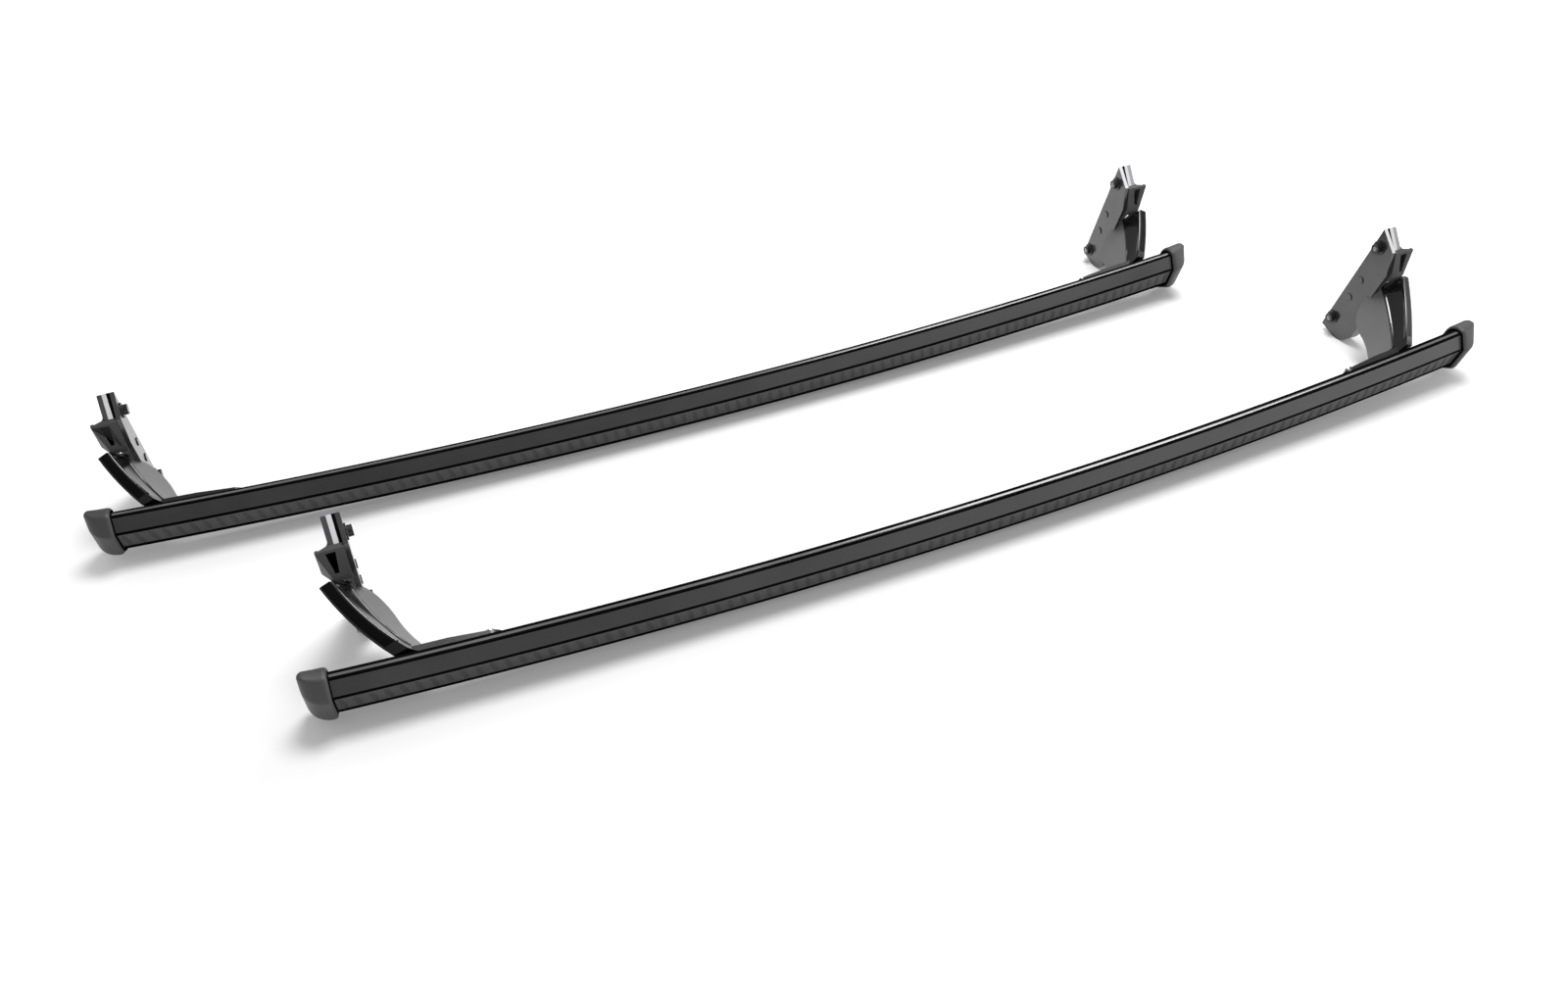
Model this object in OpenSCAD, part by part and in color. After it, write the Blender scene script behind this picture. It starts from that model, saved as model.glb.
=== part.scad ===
// Pair of roof cross bars with feet that fasten to a car's side rails.
// Millimetres. Both bars lie tread side forward on a flat floor, +Z up.
// Each bar is drawn as it sits on the car (X along the bar, Y across it, Z up) and then laid down.

/* [Bars] */
// Length of each bar between its end caps
bar_l = 1150; // [900:5:1300]
// Height of the middle of the bar over its ends
bow_rise = 23.6; // [12:0.2:40]
// Width of the bar's section, edge to edge
bar_w = 51; // [44:0.5:64]
// Height of the bar's section
bar_h = 22.4; // [18:0.2:30]
// Width of the flat top that carries the load
top_w = 26.5; // [20:0.5:34]
// Wall of the extruded section
bar_wall = 2; // [1.4:0.1:2.6]
// Width of the slot under the tread strip
slot_w = 11; // [6:0.5:14]

/* [Tread strip] */
// Width of the rubber strip in the flat top
tread_w = 23.6; // [14:0.2:24]
// Depth of the channel that holds the strip
tread_d = 2.4; // [1.6:0.1:3]
// Height of the slanted ribs over the strip
rib_h = 0.7; // [0.4:0.1:1.4]
// Distance from one rib to the next
rib_pitch = 12; // [8:0.5:20]
// Thickness of a rib
rib_t = 4.6; // [2:0.2:6]
// Slant of the ribs
rib_slant = 12; // [0:1:50]

/* [End caps] */
// Length of the cap beyond the bar
cap_l = 22.5; // [16:0.5:32]
// How far the cap's rim stands proud of the bar
cap_rim = 2.4; // [1:0.1:4]
// Length of the plug that the bar holds
cap_plug_l = 26; // [14:1:40]
// Radius of the cap's corner on the side that faces down here
cap_low_r = 15; // [8:0.5:18]
// Radius of the cap's corner on the side that faces up here
cap_up_r = 6; // [3:0.5:10]
// Radius of the cap's corner over the tread
cap_top_r = 9; // [5:0.5:12]

/* [Pose] */
// Tilt of the bars as they lie on the floor
lie_tilt = 21.2; // [18:0.2:25]
// Shift of the rear bar along the front bar
rear_x = -154.4; // [-200:0.2:-100]
// Distance from the front bar to the rear bar
rear_y = 292.8; // [260:0.2:360]
// Turn of the rear bar against the front bar
rear_turn = -1.18; // [-3:0.02:3]

/* [Legs] */
// Distance from the bar's middle line down to the rail saddle, front bar
front_leg_h = 96.3; // [90:0.1:110]
// Distance from the bar's middle line down to the rail saddle, rear bar
rear_leg_h = 82.2; // [78:0.1:110]
// Inset of the rail face from the bar's end, front bar
front_inset = 27; // [20:0.1:50]
// Inset of the rail face from the bar's end, rear bar
rear_inset = 13.8; // [8:0.1:50]
// Thickness of the leg's blade
leg_t = 12; // [9:0.5:14]
// Radius to which the blade is curved
leg_bend_r = 173; // [150:1:220]
// Turn of the blade about the leg's own length
leg_turn = 33; // [26:0.5:38]
// Wall of the gloss cover
cover_t = 2.6; // [1.8:0.1:3.2]
// Height of the ridges along the cover
ridge_h = 0.9; // [0.4:0.1:1.6]
// Thickness of the flange under the bar, at the leg
flange_t = 5.6; // [4:0.2:8]
// Thickness of the flange at its far end
flange_tip_t = 2.6; // [2:0.1:4]
// Length of the flange
flange_l = 90; // [70:1:110]
// Width of the flange
flange_w = 29; // [22:0.5:32]
// Thickness of the gasket between the flange and the bar
gasket_t = 1; // [0.6:0.1:2]

/* [Rail clamp] */
// Width of the saddle block that sits over the rail
hook_w = 31; // [24:0.5:40]
// Thickness of the saddle's upright wall
hook_wall = 7; // [5:0.5:9]
// Reach of the lip that sits on the rail
lip_l = 10.7; // [7:0.1:14]
// Thickness of the lip at its tip
lip_t = 2.6; // [1.8:0.1:4]
// Lean of the saddle's outer side, across over up
saddle_lean = 0.7; // [0.3:0.05:1]
// Height of the saddle's upright wall
saddle_h = 19.7; // [17:0.1:24]
// Thickness of the rubber pad on the rail face
pad_t = 4.5; // [2:0.1:5]
// Thickness of the clamp plate
plate_t = 4; // [3:0.2:5]
// Gap between the clamp plate and the pieces behind it
plate_gap = 0.05; // [0.03:0.01:0.3]
// Height of the clamp plate
plate_h = 38; // [32:0.5:44]
// Radius of the plate's lower corner
plate_r = 20; // [12:0.5:24]

/* [Fasteners] */
// Distance between the two rail screws of a foot
screw_pitch = 110; // [96:0.5:112]
// Radius of the rail screw's shank
screw_r = 3; // [2.5:0.1:3.5]
// How far the shank's end stays inside the clamp plate while the screw is wound back
shank_back = 0.4; // [0.1:0.1:2]
// Radius of the hole for the rail's own stud
stud_hole_r = 5.5; // [4.5:0.1:6]
// Radius of a rail screw's washer
washer_r = 7.4; // [6:0.1:9]
// Radius of the base screw's shank
base_screw_r = 2.5; // [2:0.1:3]
// Radius of the rivet nut's body
nut_r = 4.2; // [3.6:0.1:5]
// Length of the rivet nut
nut_l = 12; // [8:0.5:14]
// Distance between the two base screws of a foot
base_pitch = 36; // [28:0.5:44]
// Radius of a base screw's head
base_head_r = 4.6; // [4:0.1:5.4]

/* [Hidden] */

// Small overlap that joins two shapes into one solid
eps = 0.01;
// Running clearance between pieces that slide together
slide_gap = 0.15;
round_fn = 64;
bow_fn = 2880;
blade_fn = 720;

half_l = bar_l / 2;
half_h = bar_h / 2;
bow_r = (half_l * half_l + bow_rise * bow_rise) / (2 * bow_rise);
section_low = (top_w - bar_w) / 2;
section_high = (top_w + bar_w) / 2;
section_mid = top_w / 2;
shoulder_slope = atan(2 * half_h / (bar_w - top_w));
floor_z = section_low * cos(lie_tilt) - bow_rise * sin(lie_tilt);

// Points of an arc about (cx, cy), from angle a0 to a1
function arc(cx, cy, r, a0, a1, steps) =
  [for (i = [0 : steps]) let (a = a0 + (a1 - a0) * i / steps) [cx + r * cos(a), cy + r * sin(a)]];

// Bends a flat section of (across, up) along the bow, between two places along the bar
module along_bow(from_x, to_x) {
  a0 = asin(from_x / bow_r);
  a1 = asin(to_x / bow_r);
  translate([0, 0, bow_rise - bow_r])
    rotate([90, 0, 0])
      rotate([0, 0, 90 - a1])
        rotate_extrude(angle = a1 - a0, $fn = bow_fn)
          translate([bow_r, 0])
            rotate(-90)
              children();
}

// Moves to a place along the bar, with Z square to the bar there and zero on its middle line
module on_bow(x) {
  translate([0, 0, bow_rise - bow_r])
    rotate([0, asin(x / bow_r), 0])
      translate([0, 0, bow_r])
        children();
}

// Half of the bar's outline, grown by g: its side corner and its round underside, from the middle.
// Made smaller, the outline has its side corner on the round underside itself.
function side_y(g) = g * tan((90 - shoulder_slope) / 2);
function under_side(g) =
  let (r = half_h + g, x = bar_w / 2 - half_h)
  g > 0 ? concat([[bar_w / 2 + g, side_y(g)]], arc(x, 0, r, 0, -90, 8))
        : arc(x, 0, r, asin(side_y(g) / r), -90, 8);
function other_half(points) = [for (i = [len(points) - 1 : -1 : 0]) [-points[i][0], points[i][1]]];
function both_halves(points) = concat(points, other_half(points));
function both_halves_inwards(points) =
  concat([for (q = points) [-q[0], q[1]]], [for (i = [len(points) - 1 : -1 : 0]) points[i]]);

// Outline of the bar, grown by g: flat top, two straight shoulders and a round underside
module bar_outline(g = 0) {
  top_corner = [top_w / 2 + g * tan(shoulder_slope / 2), half_h + g];
  translate([section_mid, 0]) polygon(both_halves(concat([top_corner], under_side(g))));
}

// Right half of the chamber inside the bar, made smaller by clear
chamber_top = half_h - tread_d - bar_wall;
function chamber_half(clear) =
  let (side = under_side(-bar_wall - clear), top = chamber_top - clear)
  concat([[side[0][0] - (top - side[0][1]) / tan(shoulder_slope), top]], side);

// Section of the bar: the chamber opens through a slot into the channel of the tread strip
module bar_section() {
  channel = half_h - tread_d;
  outer = concat(
    [[tread_w / 2, channel], [tread_w / 2, half_h], [top_w / 2, half_h]], under_side(0));
  inner = concat([[slot_w / 2, channel], [slot_w / 2, chamber_top]], chamber_half(0));
  translate([section_mid, 0])
    polygon(concat(both_halves(outer), both_halves_inwards(inner)));
}

module bar_extrusion(foot) {
  color("#26272a")
    difference() {
      along_bow(-half_l, half_l) bar_section();
      for (side = [0, 1])
        mirror([side, 0, 0])
          base_screw_places(foot)
            translate([0, 0, -half_h - bar_wall])
              cylinder(r = nut_r + slide_gap, h = 2 * bar_wall + 1, $fn = round_fn);
    }
}

module tread_strip() {
  rib_count = floor((half_l - rib_pitch) / rib_pitch);
  rib_low = half_h - rib_h;
  half_w = tread_w / 2 - slide_gap;
  key = slot_w / 2 - slide_gap;
  color("#2f3033")
    union() {
      along_bow(-half_l, half_l)
        translate([section_mid, 0])
          polygon([
            [half_w, rib_low], [half_w, half_h - tread_d], [key, half_h - tread_d], [key, chamber_top],
            [-key, chamber_top], [-key, half_h - tread_d], [-half_w, half_h - tread_d], [-half_w, rib_low]
          ]);
      intersection() {
        along_bow(-half_l, half_l)
          translate([section_mid - half_w, rib_low - eps]) square([2 * half_w, rib_h + eps]);
        translate([0, section_mid, 0])
          for (i = [-rib_count : rib_count])
            translate([i * rib_pitch, 0, 0])
              rotate([0, 0, rib_slant])
                translate([-rib_t / 2, -tread_w, -bar_h]) cube([rib_t, 2 * tread_w, 3 * bar_h]);
      }
    }
}

// Flat outline of a given length, with its two far corners rounded
module rounded_end(length, width, r_low, r_high) {
  polygon(concat(
    [[-1, 0]],
    arc(length - r_low, r_low, r_low, -90, 0, 10),
    arc(length - r_high, width - r_high, r_high, 0, 90, 8),
    [[-1, width]]
  ));
}

// End cap on the bar's right end: a plug for the chamber and a rounded head
module end_cap() {
  head_w = bar_w + 2 * cap_rim;
  head_h = bar_h + 2 * cap_rim;
  over = 0.5;
  color("#47484b")
    on_bow(half_l)
      union() {
        intersection() {
          rotate([90, 0, 90]) linear_extrude(cap_l) bar_outline(cap_rim);
          translate([0, section_low - cap_rim - over, -head_h])
            linear_extrude(2 * head_h) rounded_end(cap_l - 0.5, head_w + 2 * over, cap_low_r, cap_up_r);
          translate([0, section_high + head_w, -head_h / 2 - over])
            rotate([90, 0, 0])
              linear_extrude(3 * head_w) rounded_end(cap_l, head_h + 2 * over, cap_top_r, cap_top_r);
        }
        translate([-cap_plug_l, section_mid, 0])
          rotate([90, 0, 90])
            linear_extrude(cap_plug_l + 1) polygon(both_halves(chamber_half(2 * slide_gap)));
      }
}

// A foot is given by its inset from the bar's end and the height of its leg.
// It is drawn in (e, w, v): e inwards along the bar, w across it and v downwards on the car,
// with zero at the corner of the saddle. Every foot is drawn for the right end of the bar.
front_foot = [front_inset, front_leg_h];
rear_foot = [rear_inset, rear_leg_h];
function inset(foot) = foot[0];
function leg_h(foot) = foot[1];

module at_saddle(foot) {
  translate([half_l, 0, 0])
    rotate([0, 180, 0])
      translate([inset(foot), 0, leg_h(foot)])
        children();
}

// Centre of the curve that the blade follows: the blade's inner face is upright at this height,
// and lies this far from the saddle's corner, square to the blade
bend_v = 9.7;
face_n = 20.4;
bend_n = face_n + leg_bend_r;
// Where the blade's face meets the underside of the bar, inwards of the saddle
base_y = 20;
function root_n(foot) =
  bend_n - sqrt(pow(leg_bend_r, 2) - pow(bend_v + leg_h(foot) - half_h, 2));
function root_e(foot) = (root_n(foot) - section_mid * sin(leg_turn)) / cos(leg_turn);
flange_lead = 26;
function flange_x(foot) = half_l - inset(foot) - root_e(foot) + flange_lead;

// Edges of the blade at a height over the saddle: its upper edge, the cover's ridge line,
// the lower edge of the cover's back and the web's flared lower edge
edge_at_saddle = 54.7;
ridge_at_saddle = 25.2;
function edge_y(v) = edge_at_saddle + 0.49 * v;
function ridge_y(v) = ridge_at_saddle + 0.36 * v;
back_shift = -26;
back_top_in = 1.4;
web_arch_r = 28.5;
web_arch_y = 5;
web_arch_v = -37.5;
web_flare_r = 94.3;
function web_y(v) = web_arch_y - web_arch_r - pow(v - web_arch_v, 2) / (2 * web_flare_r);
cover_top_v = -16;
cover_ridge_v = -9.5;

// The blade's curved thickness between two depths behind its inner face
module blade(from_d, to_d) {
  rotate([0, 0, leg_turn])
    translate([bend_n, 0, bend_v])
      rotate([90, 0, 0])
        difference() {
          cylinder(r = leg_bend_r + to_d, h = 2 * leg_bend_r, center = true, $fn = blade_fn);
          cylinder(r = leg_bend_r + from_d, h = 3 * leg_bend_r, center = true, $fn = blade_fn);
        }
}

// Cuts an outline of (across the blade, height) out of the blade, between two depths
module blade_piece(from_d, to_d) {
  intersection() {
    blade(from_d, to_d);
    rotate([0, 0, leg_turn])
      translate([-2 * leg_t, 0, 0])
        rotate([90, 0, 90])
          linear_extrude(bend_n)
            children();
  }
}

module web_outline(foot) {
  root = -leg_h(foot) - 4;
  steps = 6;
  polygon(concat(
    [[edge_y(root), root], [edge_y(cover_top_v), cover_top_v], [ridge_y(cover_ridge_v), cover_ridge_v]],
    arc(web_arch_y, web_arch_v, web_arch_r, 90, 180, 12),
    [for (i = [1 : steps]) let (v = web_arch_v + (root - web_arch_v) * i / steps) [web_y(v), v]]
  ));
}

// Band of the blade between its upper edge, less an inset, and a line below it
module cover_band(foot, low_shift, edge_in = 0, top_in = 0) {
  root = half_h + gasket_t + flange_t - leg_h(foot) - 1;
  polygon([
    [ridge_y(root) + low_shift, root], [edge_y(root) - edge_in, root],
    [edge_y(cover_top_v - top_in) - edge_in, cover_top_v - top_in],
    [ridge_y(cover_ridge_v - top_in) + low_shift, cover_ridge_v - top_in]
  ]);
}

// The cover's three walls: over the blade's inner face, its upper edge and its back.
// With over above zero they are larger outwards, as the room that the blade leaves for them.
module cover_walls(foot, over = 0) {
  blade_piece(-over, cover_t) cover_band(foot, 0, -over);
  blade_piece(leg_t - cover_t, leg_t + over) cover_band(foot, back_shift, -over, back_top_in);
  difference() {
    blade_piece(-over, leg_t + over) cover_band(foot, 0, -over);
    blade_piece(-over - 1, leg_t + over + 1) cover_band(foot, -20, cover_t, -20);
  }
}

module leg_cover(foot) {
  ridge_w = 2.6;
  color("#141416")
    difference() {
      at_saddle(foot)
        union() {
          cover_walls(foot);
          blade_piece(-ridge_h, eps)
            difference() {
              cover_band(foot, 0);
              cover_band(foot, ridge_w, -20, -20);
            }
          blade_piece(-ridge_h, eps)
            difference() {
              cover_band(foot, 0);
              cover_band(foot, -20, ridge_w + 1, -20);
            }
        }
      at_saddle(foot) translate([-leg_bend_r, head_high_w, floor_v]) cube(2 * leg_bend_r);
      flange(foot);
    }
}

// Flange under the bar, from the leg's root towards the middle of the bar. Its top is flat,
// and it is set down by the bow's rise over its length, so that it never reaches into the bar.
bow_sag = flange_l * flange_l / (8 * bow_r);
flange_top = -half_h - gasket_t - bow_sag;
module on_flange(foot) {
  on_bow(flange_x(foot) - flange_l / 2)
    translate([flange_l / 2, section_mid, 0])
      mirror([1, 0, 0])
        children();
}

module flange_plan(inset_by = 0) {
  half_w = flange_w / 2 - inset_by;
  far = flange_l - inset_by;
  tip_r = half_w * 0.84;
  heel_r = 5;
  near = inset_by + heel_r;
  polygon(concat(
    arc(near, heel_r - half_w, heel_r, 180, 270, 6),
    arc(far - tip_r, tip_r - half_w, tip_r, -90, 0, 12),
    arc(far - tip_r, half_w - tip_r, tip_r, 0, 90, 12),
    arc(near, half_w - heel_r, heel_r, 90, 180, 6)
  ));
}

module flange(foot) {
  on_flange(foot)
    intersection() {
      translate([0, 0, flange_top - 2 * flange_t]) linear_extrude(2 * flange_t) flange_plan();
      translate([0, flange_w, flange_top])
        rotate([90, 0, 0])
          linear_extrude(2 * flange_w)
            polygon([
              [-1, 1], [-1, -flange_t], [flange_l / 2, -flange_t],
              [flange_l + 1, -flange_tip_t], [flange_l + 1, 1]
            ]);
    }
}

module above_flange(foot) {
  on_flange(foot) translate([-flange_l, -2 * bar_w, flange_top]) cube([3 * flange_l, 4 * bar_w, 3 * bar_h]);
}

// Places of a foot's two base screws
base_first = 42;
module base_screw_places(foot) {
  for (i = [0, 1])
    on_bow(flange_x(foot) - base_first - i * base_pitch)
      translate([0, base_y, 0])
        children();
}

// Thickness that the flange keeps under a base screw's head
seat_t = 2.4;
base_head_h = 3.8;

module leg(foot) {
  color("#6f7072")
    difference() {
      union() {
        at_saddle(foot)
          difference() {
            union() {
              blade_piece(0, leg_t) web_outline(foot);
              head_block();
            }
            cover_walls(foot, 3);
            plate_rivet_places() cylinder(r = rivet_r, h = 4 * hook_wall, center = true, $fn = round_fn);
          }
        flange(foot);
      }
      above_flange(foot);
      base_screw_places(foot)
        union() {
          translate([0, 0, -half_h - gasket_t - 3 * flange_t])
            cylinder(r = base_screw_r + slide_gap, h = 4 * flange_t, $fn = round_fn);
          translate([0, 0, -half_h - gasket_t - seat_t - 2 * flange_t])
            cylinder(r = base_head_r + 2 * slide_gap, h = 2 * flange_t, $fn = round_fn);
        }
    }
}

// Block at the leg's head, behind the clamp plate
head_low_w = -12;
head_high_w = 46;
wall_e = pad_t;
back_e = wall_e + hook_wall;
plate_e = back_e + plate_gap;
plate_low_v = saddle_h - plate_h;
// Underside of the hook's floor, and how far it reaches past the rail face
floor_v = cover_top_v - 1;
hook_toe = 4;
// End of the saddle across the bar, at the height of its floor
saddle_end_w = head_high_w + hook_w - 1;

head_low_v = -12;
module head_block() {
  translate([wall_e, head_low_w, head_low_v])
    cube([hook_wall, head_high_w - head_low_w, saddle_h - head_low_v]);
}

module base_gasket(foot) {
  color("#1b1b1c")
    difference() {
      on_flange(foot)
        translate([0, 0, flange_top]) linear_extrude(gasket_t) flange_plan(1);
      base_screw_places(foot)
        translate([0, 0, -2 * half_h]) cylinder(r = nut_flange_r + slide_gap, h = 4 * half_h, $fn = round_fn);
    }
}

// Rivet nut in the bar's underside: a thin flange under the bar and a threaded body inside it
nut_flange_r = 6.2;
nut_flange_gap = 0.02;
thread_gap = 0.05;
module rivet_nuts(foot) {
  color("#9a9a98")
    base_screw_places(foot)
      difference() {
        union() {
          translate([0, 0, -half_h - gasket_t])
            cylinder(r = nut_flange_r, h = gasket_t - nut_flange_gap, $fn = round_fn);
          translate([0, 0, -half_h - gasket_t]) cylinder(r = nut_r, h = nut_l, $fn = round_fn);
        }
        translate([0, 0, -2 * half_h])
          cylinder(r = base_screw_r + thread_gap, h = 4 * half_h, $fn = round_fn);
      }
}

module base_screws(foot) {
  seat_z = -half_h - gasket_t - seat_t;
  socket_r = 1.8;
  socket_d = 2.2;
  color("#3a3a3c")
    base_screw_places(foot)
      difference() {
        union() {
          translate([0, 0, seat_z - base_head_h]) cylinder(r = base_head_r, h = base_head_h, $fn = round_fn);
          translate([0, 0, seat_z - eps])
            cylinder(r = base_screw_r, h = seat_t + nut_l - 1, $fn = round_fn);
        }
        translate([0, 0, seat_z - base_head_h - eps]) cylinder(r = socket_r, h = socket_d, $fn = 6);
      }
}

// Places of the two rivets that hold the clamp plate to the leg's head, along e
rivet_r = 2.4;
rivet_head_r = 4.2;
rivet_head_h = 1.1;
rivet_v = 9.5;
module plate_rivet_places() {
  for (w = [-4, 23])
    translate([0, w, rivet_v]) rotate([0, 90, 0]) children();
}

module plate_rivets() {
  color("#55565a")
    plate_rivet_places()
      union() {
        translate([0, 0, wall_e])
          cylinder(r = rivet_r, h = plate_e + plate_t - wall_e + eps, $fn = round_fn);
        translate([0, 0, plate_e + plate_t]) cylinder(r = rivet_head_r, h = rivet_head_h, $fn = round_fn);
      }
}

// Matte block that sits over the rail: upright wall, floor and lip
module rail_hook() {
  lip_drop = lip_l / 3;
  tip_w = saddle_end_w + 1;
  color("#3d3e40")
    difference() {
      intersection() {
        translate([0, head_high_w + 2 * hook_w, 0])
          rotate([90, 0, 0])
            linear_extrude(2 * hook_w)
              polygon([
                [back_e, floor_v], [back_e, saddle_h], [wall_e, saddle_h], [wall_e, 0], [0, 0],
                [-lip_l, -lip_drop], [-lip_l - 0.3 * lip_t, -lip_drop - lip_t], [-hook_toe, floor_v]
              ]);
        translate([-2 * lip_l, 0, 0])
          rotate([90, 0, 90])
            linear_extrude(2 * lip_l + 2 * back_e)
              polygon([
                [head_high_w, floor_v - 2], [head_high_w + hook_wall, floor_v], [tip_w, -2 * lip_t],
                [saddle_end_w, 0], [saddle_end_w + saddle_lean * saddle_h, saddle_h], [head_high_w, saddle_h]
              ]);
      }
      rail_screw_place(0) cylinder(r = stud_hole_r, h = 4 * plate_e, center = true, $fn = round_fn);
    }
}

// Places of the two rail screws, along e: one in the saddle and one near the plate's lower end
upper_screw_w = 70;
screw_v = 12.5;
module rail_screw_place(i) {
  translate([0, upper_screw_w - i * screw_pitch, screw_v]) rotate([0, 90, 0]) children();
}

// Lower end of the plate: its rounded corner touches the floor as the bar lies
function plate_end_w(foot) =
  (floor_z + plate_r - (plate_low_v + plate_r + leg_h(foot)) * sin(lie_tilt)) / cos(lie_tilt) - plate_r;

// Outline of (across the bar, height) shared by the plate and the lower end of the pad. The plate is
// deepest at its lower end, narrows to a waist at the leg's head and follows the saddle block's underside.
plate_heel_w = 2 * head_low_w;
plate_waist_w = -head_low_w / 2;
module plate_outline(foot) {
  end_w = plate_end_w(foot);
  polygon(concat(
    [[end_w, saddle_h]],
    arc(end_w + plate_r, plate_low_v + plate_r, plate_r, 180, 270, 12),
    [[plate_heel_w, plate_low_v], [plate_waist_w, head_low_v], [head_high_w + hook_wall, head_low_v - 1],
     [saddle_end_w + 2, head_low_v / 3], [saddle_end_w + saddle_lean * saddle_h, saddle_h]]
  ));
}

module clamp_plate(foot) {
  color("#434446")
    difference() {
      translate([plate_e, 0, 0])
        rotate([90, 0, 90])
          linear_extrude(plate_t)
            plate_outline(foot);
      blade_piece(-ridge_h - slide_gap, leg_t + slide_gap) web_outline(foot);
      for (i = [0, 1])
        rail_screw_place(i) cylinder(r = screw_r + slide_gap, h = 6 * plate_e, center = true, $fn = round_fn);
      plate_rivet_places() cylinder(r = rivet_r, h = 6 * plate_e, center = true, $fn = round_fn);
    }
}

// Rubber pad between the foot and the rail: thin along the wall, thick at the plate's lower end
module rail_pad(foot) {
  color("#1d1d1e")
    difference() {
      union() {
        rotate([90, 0, 90])
          linear_extrude(pad_t)
            polygon([[head_low_w - 10, 0], [saddle_end_w, 0],
                     [saddle_end_w + saddle_lean * saddle_h, saddle_h], [head_low_w - 10, saddle_h]]);
        rotate([90, 0, 90])
          linear_extrude(back_e)
            intersection() {
              plate_outline(foot);
              translate([head_low_w - 2 * screw_pitch, -2 * plate_h]) square([2 * screw_pitch, 4 * plate_h]);
            }
      }
      for (i = [0, 1])
        rail_screw_place(i) cylinder(r = stud_hole_r, h = 6 * plate_e, center = true, $fn = round_fn);
      blade_piece(-slide_gap, leg_t + slide_gap) web_outline(foot);
    }
}

// Captive rail screws: a washer and a socket head on the plate, and a shank as long as the plate is thick
module rail_screws() {
  head_r = 5;
  head_h = 4.6;
  washer_h = 1.4;
  socket_r = 2.6;
  socket_d = 3;
  washer_e = plate_e + plate_t;
  head_e = washer_e + washer_h;
  color("#2a2a2c")
    for (i = [0, 1])
      rail_screw_place(i)
        difference() {
          union() {
            translate([0, 0, plate_e + shank_back])
              cylinder(r = screw_r, h = plate_t + washer_h - shank_back, $fn = round_fn);
            translate([0, 0, washer_e]) cylinder(r = washer_r, h = washer_h, $fn = round_fn);
            translate([0, 0, head_e - eps]) cylinder(r = head_r, h = head_h, $fn = round_fn);
          }
          translate([0, 0, head_e + head_h - socket_d]) cylinder(r = socket_r, h = socket_d + 1, $fn = 6);
        }
}

// Lays a bar down from the way it sits on the car, and moves it to its place on the floor
centre_x = rear_x / 2 - 0.1;
centre_y = rear_y / 2 + 41.7;
module lay(x, y, turn) {
  translate([x - centre_x, y - centre_y, -floor_z])
    rotate([0, 0, turn])
      rotate([90 + lie_tilt, 0, 0])
        children();
}
module front() { lay(0, 0, 0) children(); }
module rear() { lay(rear_x, rear_y, rear_turn) children(); }

module left() { mirror([1, 0, 0]) children(); }
module foot_part(name, foot) {
  if (name == "leg") leg(foot);
  if (name == "leg_cover") leg_cover(foot);
  if (name == "rail_hook") at_saddle(foot) rail_hook();
  if (name == "rail_pad") at_saddle(foot) rail_pad(foot);
  if (name == "clamp_plate") at_saddle(foot) clamp_plate(foot);
  if (name == "rail_screws") at_saddle(foot) rail_screws();
  if (name == "plate_rivets") at_saddle(foot) plate_rivets();
  if (name == "base_gasket") base_gasket(foot);
  if (name == "base_screws") base_screws(foot);
  if (name == "rivet_nuts") rivet_nuts(foot);
}

front() bar_extrusion(front_foot);  // front_bar_extrusion
front() tread_strip();  // front_tread_strip
front() left() end_cap();  // front_end_cap_left
front() end_cap();  // front_end_cap_right
rear() bar_extrusion(rear_foot);  // rear_bar_extrusion
rear() tread_strip();  // rear_tread_strip
rear() left() end_cap();  // rear_end_cap_left
rear() end_cap();  // rear_end_cap_right
front() left() foot_part("leg", front_foot);  // front_left_leg
front() left() foot_part("leg_cover", front_foot);  // front_left_leg_cover
front() left() foot_part("rail_hook", front_foot);  // front_left_rail_hook
front() left() foot_part("rail_pad", front_foot);  // front_left_rail_pad
front() left() foot_part("clamp_plate", front_foot);  // front_left_clamp_plate
front() left() foot_part("rail_screws", front_foot);  // front_left_rail_screws
front() left() foot_part("plate_rivets", front_foot);  // front_left_plate_rivets
front() left() foot_part("base_gasket", front_foot);  // front_left_base_gasket
front() left() foot_part("base_screws", front_foot);  // front_left_base_screws
front() left() foot_part("rivet_nuts", front_foot);  // front_left_rivet_nuts
front() foot_part("leg", front_foot);  // front_right_leg
front() foot_part("leg_cover", front_foot);  // front_right_leg_cover
front() foot_part("rail_hook", front_foot);  // front_right_rail_hook
front() foot_part("rail_pad", front_foot);  // front_right_rail_pad
front() foot_part("clamp_plate", front_foot);  // front_right_clamp_plate
front() foot_part("rail_screws", front_foot);  // front_right_rail_screws
front() foot_part("plate_rivets", front_foot);  // front_right_plate_rivets
front() foot_part("base_gasket", front_foot);  // front_right_base_gasket
front() foot_part("base_screws", front_foot);  // front_right_base_screws
front() foot_part("rivet_nuts", front_foot);  // front_right_rivet_nuts
rear() left() foot_part("leg", rear_foot);  // rear_left_leg
rear() left() foot_part("leg_cover", rear_foot);  // rear_left_leg_cover
rear() left() foot_part("rail_hook", rear_foot);  // rear_left_rail_hook
rear() left() foot_part("rail_pad", rear_foot);  // rear_left_rail_pad
rear() left() foot_part("clamp_plate", rear_foot);  // rear_left_clamp_plate
rear() left() foot_part("rail_screws", rear_foot);  // rear_left_rail_screws
rear() left() foot_part("plate_rivets", rear_foot);  // rear_left_plate_rivets
rear() left() foot_part("base_gasket", rear_foot);  // rear_left_base_gasket
rear() left() foot_part("base_screws", rear_foot);  // rear_left_base_screws
rear() left() foot_part("rivet_nuts", rear_foot);  // rear_left_rivet_nuts
rear() foot_part("leg", rear_foot);  // rear_right_leg
rear() foot_part("leg_cover", rear_foot);  // rear_right_leg_cover
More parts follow.
